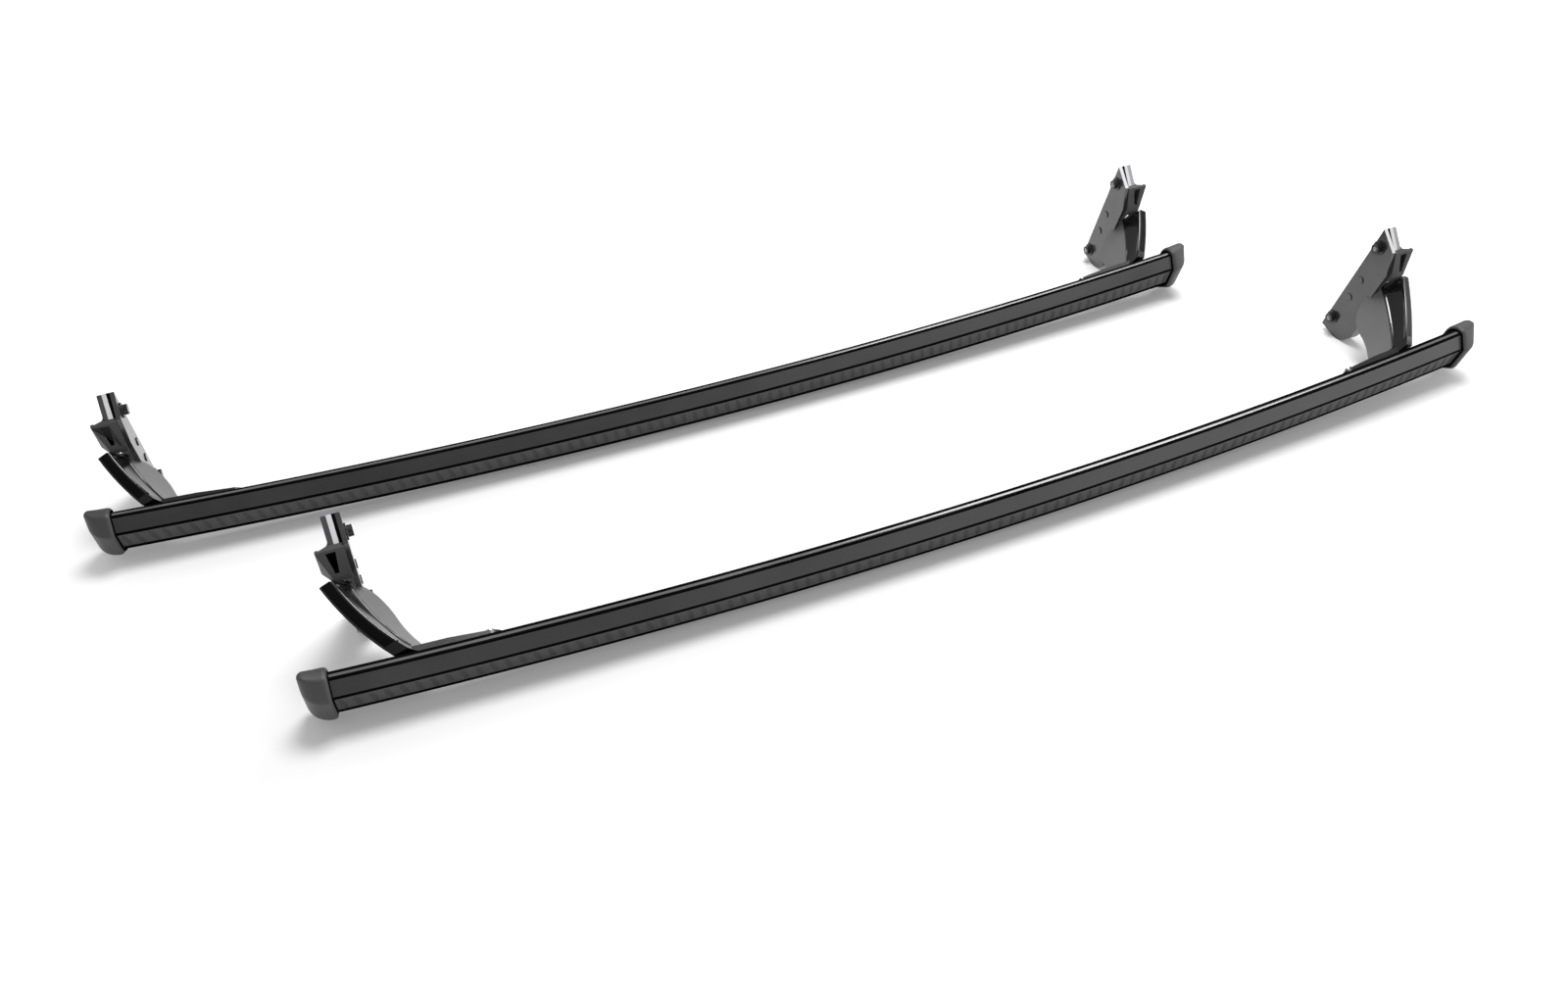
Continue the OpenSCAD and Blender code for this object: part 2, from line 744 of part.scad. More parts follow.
rear() foot_part("rail_hook", rear_foot);  // rear_right_rail_hook
rear() foot_part("rail_pad", rear_foot);  // rear_right_rail_pad
rear() foot_part("clamp_plate", rear_foot);  // rear_right_clamp_plate
rear() foot_part("rail_screws", rear_foot);  // rear_right_rail_screws
rear() foot_part("plate_rivets", rear_foot);  // rear_right_plate_rivets
rear() foot_part("base_gasket", rear_foot);  // rear_right_base_gasket
rear() foot_part("base_screws", rear_foot);  // rear_right_base_screws
rear() foot_part("rivet_nuts", rear_foot);  // rear_right_rivet_nuts
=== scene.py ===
import math

import bmesh
import bpy
from mathutils import Matrix, Vector


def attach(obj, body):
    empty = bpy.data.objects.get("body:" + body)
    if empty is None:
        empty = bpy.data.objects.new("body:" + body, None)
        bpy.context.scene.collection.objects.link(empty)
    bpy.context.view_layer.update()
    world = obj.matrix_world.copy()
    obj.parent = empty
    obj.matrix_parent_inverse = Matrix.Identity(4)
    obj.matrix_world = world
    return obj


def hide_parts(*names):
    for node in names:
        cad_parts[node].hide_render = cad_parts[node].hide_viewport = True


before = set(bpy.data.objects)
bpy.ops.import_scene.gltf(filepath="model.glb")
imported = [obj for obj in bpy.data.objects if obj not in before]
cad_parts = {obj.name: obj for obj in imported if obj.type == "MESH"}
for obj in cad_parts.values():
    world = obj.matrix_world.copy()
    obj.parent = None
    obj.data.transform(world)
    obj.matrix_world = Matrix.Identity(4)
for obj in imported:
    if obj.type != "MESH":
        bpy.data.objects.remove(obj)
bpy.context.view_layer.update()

millimetre = 0.001


# The bars as they sit on the car: x along the bar, w across it, h up, all in millimetres
bars = dict(
    length=1150.0, rise=23.6, width=51.0, height=22.4, topWidth=26.5,
    treadWidth=23.6, treadDepth=2.4, tilt=math.radians(21.2),
    rearX=-154.4, rearY=292.8, rearTurn=math.radians(-1.18),
)
halfLength = bars["length"] / 2
halfHeight = bars["height"] / 2
bowRadius = (halfLength ** 2 + bars["rise"] ** 2) / (2 * bars["rise"])
bowAngle = math.asin(halfLength / bowRadius)
midW = bars["topWidth"] / 2
lowW = midW - bars["width"] / 2
floorZ = lowW * math.cos(bars["tilt"]) - bars["rise"] * math.sin(bars["tilt"])
centreX = bars["rearX"] / 2 - 0.1
centreY = bars["rearY"] / 2 + 41.7
places = {"front": (0.0, 0.0, 0.0), "rear": (bars["rearX"], bars["rearY"], bars["rearTurn"])}
feet = {
    "front": dict(inset=27.0, legHeight=96.3),
    "rear": dict(inset=13.8, legHeight=82.2),
}


def rowPoint(bar, side, x, w, h):  # from the car's frame to the row's frame, in metres
    shiftX, shiftY, turn = places[bar]
    x *= 1 if side == "right" else -1
    y = -w * math.sin(bars["tilt"]) - h * math.cos(bars["tilt"])
    z = w * math.cos(bars["tilt"]) - h * math.sin(bars["tilt"])
    x, y = x * math.cos(turn) - y * math.sin(turn), x * math.sin(turn) + y * math.cos(turn)
    return Vector((x + shiftX - centreX, y + shiftY - centreY, z - floorZ)) * millimetre


def bowPoint(bar, side, angle, w, h):  # a point of the bar's section at an angle of the bow
    x = (bowRadius + h) * math.sin(angle)
    up = (bowRadius + h) * math.cos(angle) - bowRadius + bars["rise"]
    return rowPoint(bar, side, x, w, up)


def endPoint(bar, side, out, w, h):  # a point out from the bar's end, square to the bow there
    along = halfLength + out * math.cos(bowAngle) + h * math.sin(bowAngle)
    return rowPoint(bar, side, along, w, h * math.cos(bowAngle) - out * math.sin(bowAngle))


def footPoint(bar, side, e, w, v):  # e inwards, w across, v down on the car, from the saddle's corner
    foot = feet[bar]
    return rowPoint(bar, side, halfLength - foot["inset"] - e, w, -(foot["legHeight"] + v))


# Outlines and lofts

def arcPoints(centre, radius, fromDegrees, toDegrees, steps):
    points = []
    for i in range(steps + 1):
        a = math.radians(fromDegrees + (toDegrees - fromDegrees) * i / steps)
        points.append((centre[0] + radius * math.cos(a), centre[1] + radius * math.sin(a)))
    return points


def roundedOutline(corners, steps=4):  # corners are (x, y, radius); a radius of 0 keeps the corner
    points = []
    count = len(corners)
    for i, (x, y, radius) in enumerate(corners):
        here = Vector((x, y))
        if radius == 0:
            points.append((x, y))
            continue
        back = (Vector(corners[i - 1][:2]) - here).normalized()
        ahead = (Vector(corners[(i + 1) % count][:2]) - here).normalized()
        half = math.acos(max(-1, min(1, back.dot(ahead)))) / 2
        start = here + back * radius / math.tan(half)
        end = here + ahead * radius / math.tan(half)
        middle = here + (back + ahead).normalized() * radius / math.sin(half)
        a0, a1 = start - middle, end - middle
        whole = a0.angle_signed(a1)
        for k in range(steps + 1):
            turned = a0.copy()
            turned.rotate(Matrix.Rotation(-whole * k / steps, 2))
            points.append(tuple(middle + turned))
    return points


def footFrame(bar, side):  # turns a point of the row into the foot's (e, w, v) in millimetres
    origin = footPoint(bar, side, 0, 0, 0)
    columns = [footPoint(bar, side, *unit) - origin for unit in ((1, 0, 0), (0, 1, 0), (0, 0, 1))]
    back = Matrix(columns).transposed().inverted()
    return lambda point: back @ (Vector(point) - origin)


def markFaces(mesh, local, choose):  # choose gives a material index from a face's middle in the foot's frame
    for face in mesh.polygons:
        face.material_index = choose(local(face.center), face)


def makePiece(name, verts, faces, materials, sharpDegrees=35, faceMaterials=None):
    mesh = bpy.data.meshes.new(name)
    mesh.from_pydata([tuple(v) for v in verts], [], faces)
    if faceMaterials:
        mesh.polygons.foreach_set("material_index", faceMaterials)
    for material in materials:
        mesh.materials.append(material)
    shape = bmesh.new()
    shape.from_mesh(mesh)
    bmesh.ops.recalc_face_normals(shape, faces=shape.faces)
    shape.to_mesh(mesh)
    shape.free()
    return finishPiece(name, mesh, sharpDegrees)


def finishPiece(name, mesh, sharpDegrees):
    mesh.shade_smooth()
    mesh.set_sharp_from_angle(angle=math.radians(sharpDegrees))
    piece = bpy.data.objects.new(name, mesh)
    bpy.context.scene.collection.objects.link(piece)
    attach(piece, "root")
    return piece


def loftFaces(rings, around, closed=True, capEnds=True):
    faces = []
    for r in range(rings - 1):
        for k in range(around if closed else around - 1):
            a = r * around + k
            b = r * around + (k + 1) % around
            faces.append((a, b, b + around, a + around))
    if capEnds:
        faces.append(tuple(range(around - 1, -1, -1)))
        faces.append(tuple(range((rings - 1) * around, rings * around)))
    return faces


def roundEdges(piece, width, segments=2, degrees=38):
    bevel = piece.modifiers.new("roundEdges", "BEVEL")
    bevel.width = width * millimetre
    bevel.segments = segments
    bevel.limit_method = "ANGLE"
    bevel.angle_limit = math.radians(degrees)
    bevel.use_clamp_overlap = True
    bevel.miter_outer = "MITER_ARC"
    normals = piece.modifiers.new("evenNormals", "WEIGHTED_NORMAL")
    normals.keep_sharp = True
    return piece


def solidPrism(points, low, high, place):  # a flat outline drawn out between two heights
    verts = [place(x, y, z) for z in (low, high) for x, y in points]
    mesh = bpy.data.meshes.new("prism")
    mesh.from_pydata([tuple(v) for v in verts], [], loftFaces(2, len(points)))
    shape = bmesh.new()
    shape.from_mesh(mesh)
    bmesh.ops.recalc_face_normals(shape, faces=shape.faces)
    shape.to_mesh(mesh)
    shape.free()
    return mesh


def joinSolids(base, tool, how):  # boolean of two closed meshes, given back as a plain mesh
    pair = [bpy.data.objects.new("solid", mesh) for mesh in (base, tool)]
    for thing in pair:
        bpy.context.scene.collection.objects.link(thing)
    step = pair[0].modifiers.new("join", "BOOLEAN")
    step.operation, step.solver, step.object = how, "EXACT", pair[1]
    result = bpy.data.meshes.new_from_object(pair[0].evaluated_get(bpy.context.evaluated_depsgraph_get()))
    for thing in pair:
        bpy.data.objects.remove(thing)
    return result


def roundedCopy(node, name, width, materials, segments=2, degrees=38, local=None, choose=None):
    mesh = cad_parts[node].data.copy()
    mesh.name = name
    mesh.materials.clear()
    for material in materials:
        mesh.materials.append(material)
    shape = bmesh.new()
    shape.from_mesh(mesh)
    bmesh.ops.remove_doubles(shape, verts=shape.verts, dist=0.000004)
    bmesh.ops.dissolve_limit(shape, angle_limit=math.radians(0.4), verts=shape.verts, edges=shape.edges)
    shape.to_mesh(mesh)
    shape.free()
    if "custom_normal" in mesh.attributes:
        mesh.attributes.remove(mesh.attributes["custom_normal"])
    if choose:
        markFaces(mesh, local, choose)
    piece = finishPiece(name, mesh, degrees)
    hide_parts(node)
    return roundEdges(piece, width, segments, degrees)


# Shader groups shared by the finishes

def newGroup(name, inputs, outputs):
    group = bpy.data.node_groups.new(name, "ShaderNodeTree")
    for label, kind, value in inputs:
        socket = group.interface.new_socket(label, in_out="INPUT", socket_type=kind)
        socket.default_value = value
    for label, kind in outputs:
        group.interface.new_socket(label, in_out="OUTPUT", socket_type=kind)
    return group, group.nodes.new("NodeGroupInput"), group.nodes.new("NodeGroupOutput")


def makeGrainGroup():  # fine moulded or coated grain: a height, and a value that varies slowly
    group, given, result = newGroup(
        "fineGrain",
        [("Grain Size", "NodeSocketFloat", 900.0), ("Cloud Size", "NodeSocketFloat", 14.0)],
        [("Height", "NodeSocketFloat"), ("Cloud", "NodeSocketFloat")])
    nodes, links = group.nodes, group.links
    place = nodes.new("ShaderNodeTexCoord")
    grain = nodes.new("ShaderNodeTexNoise")
    grain.inputs["Detail"].default_value = 2.0
    cloud = nodes.new("ShaderNodeTexNoise")
    cloud.inputs["Detail"].default_value = 4.0
    links.new(place.outputs["Object"], grain.inputs["Vector"])
    links.new(place.outputs["Object"], cloud.inputs["Vector"])
    links.new(given.outputs["Grain Size"], grain.inputs["Scale"])
    links.new(given.outputs["Cloud Size"], cloud.inputs["Scale"])
    links.new(grain.outputs["Fac"], result.inputs["Height"])
    links.new(cloud.outputs["Fac"], result.inputs["Cloud"])
    return group


def makeTintGroup():  # a base colour that the cloud lightens and darkens, and dust in specks
    group, given, result = newGroup(
        "tintAndDust",
        [("Dark", "NodeSocketColor", (0.03, 0.03, 0.03, 1)), ("Light", "NodeSocketColor", (0.06, 0.06, 0.06, 1)),
         ("Cloud", "NodeSocketFloat", 0.5), ("Dust", "NodeSocketFloat", 0.1)],
        [("Color", "NodeSocketColor")])
    nodes, links = group.nodes, group.links
    spread = nodes.new("ShaderNodeMapRange")
    spread.inputs["From Min"].default_value = 0.35
    spread.inputs["From Max"].default_value = 0.65
    tint = nodes.new("ShaderNodeMix")
    tint.data_type = "RGBA"
    place = nodes.new("ShaderNodeTexCoord")
    specks = nodes.new("ShaderNodeTexNoise")
    specks.inputs["Scale"].default_value = 420.0
    specks.inputs["Detail"].default_value = 3.0
    sparse = nodes.new("ShaderNodeMapRange")
    sparse.inputs["From Min"].default_value = 0.66
    sparse.inputs["From Max"].default_value = 0.78
    amount = nodes.new("ShaderNodeMath")
    amount.operation = "MULTIPLY"
    dusty = nodes.new("ShaderNodeMix")
    dusty.data_type = "RGBA"
    dusty.inputs["B"].default_value = (0.35, 0.35, 0.34, 1)
    links.new(given.outputs["Cloud"], spread.inputs["Value"])
    links.new(spread.outputs["Result"], tint.inputs["Factor"])
    links.new(given.outputs["Dark"], tint.inputs["A"])
    links.new(given.outputs["Light"], tint.inputs["B"])
    links.new(place.outputs["Object"], specks.inputs["Vector"])
    links.new(specks.outputs["Fac"], sparse.inputs["Value"])
    links.new(sparse.outputs["Result"], amount.inputs[0])
    links.new(given.outputs["Dust"], amount.inputs[1])
    links.new(amount.outputs["Value"], dusty.inputs["Factor"])
    links.new(tint.outputs["Result"], dusty.inputs["A"])
    links.new(dusty.outputs["Result"], result.inputs["Color"])
    return group


grainGroup = makeGrainGroup()
tintGroup = makeTintGroup()


def makeFinish(name, look):
    material = bpy.data.materials.new(name)
    material.use_nodes = True
    nodes, links = material.node_tree.nodes, material.node_tree.links
    shader = nodes["Principled BSDF"]
    shader.inputs["Metallic"].default_value = look.get("metallic", 0.0)
    shader.inputs["Specular IOR Level"].default_value = look.get("specular", 0.5)
    shader.inputs["Coat Weight"].default_value = look.get("coat", 0.0)
    shader.inputs["Coat Roughness"].default_value = look.get("coatRoughness", 0.05)
    grain = nodes.new("ShaderNodeGroup")
    grain.node_tree = grainGroup
    grain.inputs["Grain Size"].default_value = look.get("grainSize", 900.0)
    grain.inputs["Cloud Size"].default_value = look.get("cloudSize", 14.0)
    tint = nodes.new("ShaderNodeGroup")
    tint.node_tree = tintGroup
    dark, light = look["dark"], look["light"]
    tint.inputs["Dark"].default_value = (dark, dark, dark * 1.02, 1)
    tint.inputs["Light"].default_value = (light, light, light * 1.02, 1)
    tint.inputs["Dust"].default_value = look.get("dust", 0.05)
    rough = nodes.new("ShaderNodeMapRange")
    rough.inputs["From Min"].default_value = 0.3
    rough.inputs["From Max"].default_value = 0.7
    rough.inputs["To Min"].default_value = look["roughLow"]
    rough.inputs["To Max"].default_value = look["roughHigh"]
    bump = nodes.new("ShaderNodeBump")
    bump.inputs["Strength"].default_value = look.get("bump", 0.2)
    bump.inputs["Distance"].default_value = look.get("bumpDepth", 0.0002)
    links.new(grain.outputs["Cloud"], tint.inputs["Cloud"])
    links.new(tint.outputs["Color"], shader.inputs["Base Color"])
    links.new(grain.outputs["Cloud"], rough.inputs["Value"])
    links.new(rough.outputs["Result"], shader.inputs["Roughness"])
    links.new(grain.outputs["Height"], bump.inputs["Height"])
    links.new(bump.outputs["Normal"], shader.inputs["Normal"])
    return material


finishes = {
    "barSatin": makeFinish("barSatin", dict(
        dark=0.03, light=0.04, roughLow=0.3, roughHigh=0.38, bump=0.08, grainSize=1600.0, dust=0.05)),
    # painted highlight: a lighter, half-metallic stripe for the bright strip along the bar's side
    "barPaintedHighlightBand": makeFinish("barPaintedHighlightBand", dict(
        dark=0.2, light=0.24, roughLow=0.1, roughHigh=0.15, bump=0.02, metallic=0.55, dust=0.02)),
    # painted shade: black without reflection, for lines, seams and hollows that lie in shade
    "barShadowLine": makeFinish("barShadowLine", dict(
        dark=0.003, light=0.005, roughLow=0.6, roughHigh=0.7, specular=0.0, dust=0.0)),
    "treadRubber": makeFinish("treadRubber", dict(
        dark=0.034, light=0.05, roughLow=0.44, roughHigh=0.56, bump=0.35, grainSize=700.0, cloudSize=60.0, dust=0.12)),
    # painted shade: a darker copy of the tread rubber for the flutes' hollows
    "treadHollowPaintedShade": makeFinish("treadHollowPaintedShade", dict(
        dark=0.022, light=0.034, roughLow=0.5, roughHigh=0.62, bump=0.3, grainSize=700.0, cloudSize=60.0, dust=0.1)),
    "capPlastic": makeFinish("capPlastic", dict(
        dark=0.05, light=0.064, roughLow=0.46, roughHigh=0.56, bump=0.3, grainSize=1100.0, dust=0.06)),
    "glossCover": makeFinish("glossCover", dict(
        dark=0.005, light=0.008, roughLow=0.1, roughHigh=0.15, bump=0.004, specular=0.9, dust=0.01)),
    # painted shade: the gloss cover's copy without reflection, for its edge wall
    "coverShade": makeFinish("coverShade", dict(
        dark=0.004, light=0.007, roughLow=0.3, roughHigh=0.4, bump=0.004, specular=0.05, dust=0.01)),
    "flangeBlack": makeFinish("flangeBlack", dict(
        dark=0.008, light=0.013, roughLow=0.25, roughHigh=0.34, bump=0.08, dust=0.03)),
    "hookPlastic": makeFinish("hookPlastic", dict(
        dark=0.036, light=0.048, roughLow=0.42, roughHigh=0.54, bump=0.3, grainSize=1100.0, dust=0.05)),
    "legPaint": makeFinish("legPaint", dict(
        dark=0.14, light=0.17, roughLow=0.38, roughHigh=0.48, bump=0.2, grainSize=800.0, dust=0.04)),
    "platePaint": makeFinish("platePaint", dict(
        dark=0.034, light=0.052, roughLow=0.15, roughHigh=0.22, bump=0.05, specular=0.8, grainSize=900.0, cloudSize=30.0, dust=0.06)),
    # painted highlight: pale grey on the rail pad, for the bright lines in the hook
    "padPaintedHighlight": makeFinish("padPaintedHighlight", dict(
        dark=0.34, light=0.42, roughLow=0.55, roughHigh=0.68, bump=0.3, dust=0.08)),
    "padDark": makeFinish("padDark", dict(
        dark=0.04, light=0.055, roughLow=0.55, roughHigh=0.68, bump=0.3, dust=0.08)),
    "gasketRubber": makeFinish("gasketRubber", dict(
        dark=0.012, light=0.02, roughLow=0.6, roughHigh=0.72, bump=0.3, dust=0.05)),
    # painted highlight: near white, for the bright bands on the hook's end, the plate's end and the screws' sockets
    "paintedHighlight": makeFinish("paintedHighlight", dict(
        dark=0.66, light=0.8, roughLow=0.3, roughHigh=0.4, bump=0.1, dust=0.03)),
    "screwBlack": makeFinish("screwBlack", dict(
        dark=0.012, light=0.02, roughLow=0.2, roughHigh=0.3, bump=0.06, dust=0.02)),
    "screwZinc": makeFinish("screwZinc", dict(
        dark=0.5, light=0.68, roughLow=0.25, roughHigh=0.34, metallic=1.0, bump=0.08, dust=0.03)),
}
print("finishes made")


# Bar: the extrusion's outline, with the channel of the strip, a groove at each side corner and a band of painted
# highlight below it; the faces marked line are painted black as painted shade
barShell = dict(
    stations=160, cornerGroove=0.9, grooveDepth=0.6, lipRadius=0.9, edgeShadeWidth=0.6,
    highlightFrom=-8.0, bandTo=-25.0, shadeTo=-78.0, underSteps=18,
)


def barOutline():
    groove, deep = barShell["cornerGroove"], barShell["grooveDepth"]
    halfTread = bars["treadWidth"] / 2
    halfTop = bars["topWidth"] / 2
    halfWidth = bars["width"] / 2
    floor = halfHeight - bars["treadDepth"]
    slope = Vector((halfWidth - halfTop, -halfHeight)).normalized()
    inward = Vector((slope.y, -slope.x))
    edge = Vector((halfWidth, 0)) - slope * 0.5
    start = edge - slope * groove
    centre = (halfWidth - halfHeight, 0)
    # faces marked line take barShadowLine: the channel walls, the lip, a strip of shoulder edgeShadeWidth long and the
    # corner groove, painted black as painted shade
    half = [(halfTread, floor, "line"), (halfTread, halfHeight - 0.3, "line"), (halfTread + 0.3, halfHeight, "line")]
    lip = roundedOutline([(0, halfHeight, 0), (halfTop, halfHeight, barShell["lipRadius"]), (*start, 0)], 3)
    half += [(x, y, "line") for x, y in lip[1:-1]]
    below = Vector(lip[-2]) + slope * barShell["edgeShadeWidth"]
    half.append((below.x, below.y, "satin"))
    half += [(start.x, start.y, "line"), (*(start + inward * deep), "line"), (*(edge + inward * deep), "line"),
             (edge.x, edge.y, "line")]
    under = arcPoints(centre, halfHeight, 0, -90, barShell["underSteps"] * 2)
    for x, y in under:
        degrees = math.degrees(math.atan2(y, x - centre[0]))
        kind = "dark"
        # under the groove a band of painted highlight, then painted shade down to shadeTo
        if degrees > barShell["shadeTo"]:
            kind = "band" if barShell["bandTo"] < degrees <= barShell["highlightFrom"] else "line"
        half.append((x, y, kind))
    other = [(-x, y) for x, y, _ in reversed(half)]
    marks = [kind for _, _, kind in half]
    otherMarks = list(reversed(marks[:-1])) + ["line"]
    return [(x, y) for x, y, _ in half] + other, marks + otherMarks


def makeBar(bar):
    outline, marks = barOutline()
    around = len(outline)
    verts = []
    for i in range(barShell["stations"] + 1):
        angle = bowAngle * (2 * i / barShell["stations"] - 1)
        verts += [bowPoint(bar, "right", angle, midW + u, h) for u, h in outline]
    faces = loftFaces(barShell["stations"] + 1, around)
    index = {"satin": 0, "band": 1, "line": 2, "dark": 0}
    kinds = [index[marks[k]] for _ in range(barShell["stations"]) for k in range(around)] + [0, 0]
    piece = makePiece(f"{bar}BarShell", verts, faces,
                      [finishes["barSatin"], finishes["barPaintedHighlightBand"], finishes["barShadowLine"]], 30, kinds)
    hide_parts(f"{bar}_bar_extrusion")
    return piece


# Tread strip: rubber in the channel, with slanted leaf-shaped flutes; the flutes' hollows are painted darker and the
# strip's sides painted black, both painted shade
treadStrip = dict(
    pitch=12.0, slant=math.radians(12.0), fluteDepth=0.8, sunk=0.15, edgeGap=1.25,
    perFlute=12, across=16, edgeFlat=2.2, hollowFrom=-0.3,
)


def fluteHeight(x, u):  # height of the strip's face over its own base face, 0 down to the flute's depth
    halfStrip = bars["treadWidth"] / 2 - treadStrip["edgeGap"]
    reach = 1 - abs(u) / (halfStrip - treadStrip["edgeFlat"])
    if reach <= 0:
        return 0.0
    phase = (x + u * math.tan(treadStrip["slant"])) / treadStrip["pitch"] % 1.0
    width = 0.5 * min(1.0, reach * 2.2) ** 0.6
    inside = 1 - abs(phase - 0.5) / (width / 2)
    if inside <= 0:
        return 0.0
    soft = min(1.0, inside * 2.2)
    return -treadStrip["fluteDepth"] * soft * soft * (3 - 2 * soft)


def makeTread(bar):
    halfStrip = bars["treadWidth"] / 2 - treadStrip["edgeGap"]
    count = int(bars["length"] / treadStrip["pitch"] * treadStrip["perFlute"])
    top = halfHeight - treadStrip["sunk"]
    floor = halfHeight - bars["treadDepth"] + 0.02
    edge = 0.4
    us = [halfStrip - edge + 2 * (edge - halfStrip) * k / treadStrip["across"] for k in range(treadStrip["across"] + 1)]
    verts = []
    for i in range(count + 1):
        angle = bowAngle * (2 * i / count - 1) * 0.9999
        x = bowRadius * math.sin(angle)
        ring = [(halfStrip, floor), (halfStrip, top - edge)]
        ring += [(u, top + fluteHeight(x, u)) for u in us]
        ring += [(-halfStrip, top - edge), (-halfStrip, floor)]
        verts += [bowPoint(bar, "right", angle, midW + u, h) for u, h in ring]
    around = treadStrip["across"] + 5
    faces = loftFaces(count + 1, around)
    kinds = []
    for i in range(count):
        x = bowRadius * math.sin(bowAngle * (2 * (i + 0.5) / count - 1) * 0.9999)
        for k in range(around):
            middle = (us[k - 2] + us[k - 1]) / 2 if 2 <= k < around - 3 else halfStrip
            isSide = k < 2 or k >= around - 4
            # the sides take black painted shade, the hollows the darker painted shade
            kinds.append(2 if isSide else int(fluteHeight(x, middle) < treadStrip["hollowFrom"]))
    look = [finishes["treadRubber"], finishes["treadHollowPaintedShade"], finishes["barShadowLine"]]
    piece = makePiece(f"{bar}TreadStrip", verts, faces, look, 50, kinds + [0, 0])
    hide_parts(f"{bar}_tread_strip")
    return piece


# End cap: a full, rounded head over the bar's end, with its seam against the bar painted black as painted shade
endCap = dict(
    length=24.0, proud=4.6, seam=0.9, seamProud=0.15, lowRadius=6.0, upRadius=5.0, topRadius=20.0, underRadius=5.0,
    stations=22, swell=((0.95, 2.4), (1.5, 3.6), (2.6, 4.3), (4.2, 4.6)),
)


def capOutline(grow):
    halfTop = bars["topWidth"] / 2 + grow * 0.4
    halfWidth = bars["width"] / 2 + grow
    top = halfHeight + grow
    half = roundedOutline([(0, top, 0), (halfTop, top, 4.0), (halfWidth, 1.2, 5.0), (halfWidth - 1.4, -5, 0)], 6)[:-1]
    half += arcPoints((halfWidth - top, 0), top, -26, -90, 12)
    points = [p for p in half if p[0] > 0.001]
    return points + [(-x, y) for x, y in reversed(points)]


def cornerInset(x, length, radius):
    over = x - (length - radius)
    return 0.0 if over <= 0 else radius - math.sqrt(max(0.0, radius * radius - over * over))


def makeCap(bar, side):
    look = endCap
    outer = capOutline(look["proud"])
    us = [p[0] for p in outer]
    hs = [p[1] for p in outer]
    wide, tall = max(us) - min(us), max(hs) - min(hs)
    around = len(outer)
    stations = [(0.0, look["seamProud"]), (look["seam"], look["seamProud"]), *look["swell"]]
    begin = stations[-1][0]
    for i in range(1, look["stations"] + 1):
        share = math.sin(math.pi / 2 * i / look["stations"])
        stations.append((begin + (look["length"] - begin) * share, look["proud"]))
    verts = []
    for x, grow in stations:
        less = look["proud"] - grow
        low = cornerInset(x, look["length"], look["lowRadius"]) + less
        up = cornerInset(x, look["length"], look["upRadius"]) + less
        top = cornerInset(x, look["length"], look["topRadius"]) + less
        under = cornerInset(x, look["length"], look["underRadius"]) + less
        for u, h in outer:
            newU = min(us) + low + (wide - low - up) * (u - min(us)) / wide
            newH = min(hs) + under + (tall - under - top) * (h - min(hs)) / tall
            verts.append(endPoint(bar, side, x, midW + newU, newH))
    faces = loftFaces(len(stations), around)
    # the first two rings, the seam, are painted black: painted shade
    kinds = [1 if row < 2 else 0 for row in range(len(stations) - 1) for _ in range(around)] + [0, 0]
    piece = makePiece(f"{bar}EndCap{side.capitalize()}", verts, faces,
                      [finishes["capPlastic"], finishes["barShadowLine"]], 50, kinds)
    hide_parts(f"{bar}_end_cap_{side}")
    return piece


for bar in places:
    makeBar(bar)
    makeTread(bar)
    for side in ("left", "right"):
        makeCap(bar, side)
print("bars, treads and caps made")


# Leg cover: a gloss shell on the curved blade, with a raised rim round its front face
legCover = dict(
    bendRadius=173.0, bendN=193.4, bendV=9.7, turn=math.radians(33.0), thickness=12.0, wall=2.6,
    rim=0.9, rimWidth=2.3, rimFillet=2.0, corner=2.0, backReach=26.0, topCut=-17.06,
    faceWidth=25.5, nearEdge=(0.0, 0.12, 0.4, 0.8, 1.3, 1.9, 2.6, 3.4, 4.4), faceSteps=12, rowSteps=34, hollow=0.35,
)


def bladePoint(bar, side, y, v, depth):
    look = legCover
    n = look["bendN"] - math.sqrt((look["bendRadius"] + depth) ** 2 - (v - look["bendV"]) ** 2)
    e = n * math.cos(look["turn"]) - y * math.sin(look["turn"])
    w = n * math.sin(look["turn"]) + y * math.cos(look["turn"])
    return e, w, footPoint(bar, side, e, w, v)


def lowEdge(v):
    return 25.2 + 0.36 * v


def highEdge(v):
    return 54.7 + 0.49 * v


def rimLift(distance):
    look = legCover
    if distance <= look["rimWidth"]:
        return look["rim"]
    share = min(1.0, (distance - look["rimWidth"]) / look["rimFillet"])
    return look["rim"] * (1 - share) ** 2


def coverChains():  # outer and inner lines of the shell's section: (place on the face or wall, depth, kind)
    look = legCover
    outer, inner = [], []
    low = [distance / look["faceWidth"] for distance in look["nearEdge"]]
    steps = look["faceSteps"]
    shares = low + [low[-1] + (1 - 2 * low[-1]) * k / steps for k in range(1, steps)] + [1 - q for q in reversed(low)]
    for share in shares:
        outer.append(("face", share, 0.0))
        inner.append(("face", share, look["wall"]))
    for depth in (2.0, 4.5, 7.5, 10.0):
        outer.append(("edge", 0.0, depth))
        inner.append(("edge", look["wall"], max(look["wall"], min(look["thickness"] - look["wall"], depth))))
    for k in range(9):
        outer.append(("back", k / 8, look["thickness"]))
        inner.append(("back", k / 8, look["thickness"] - look["wall"]))
    return outer, inner


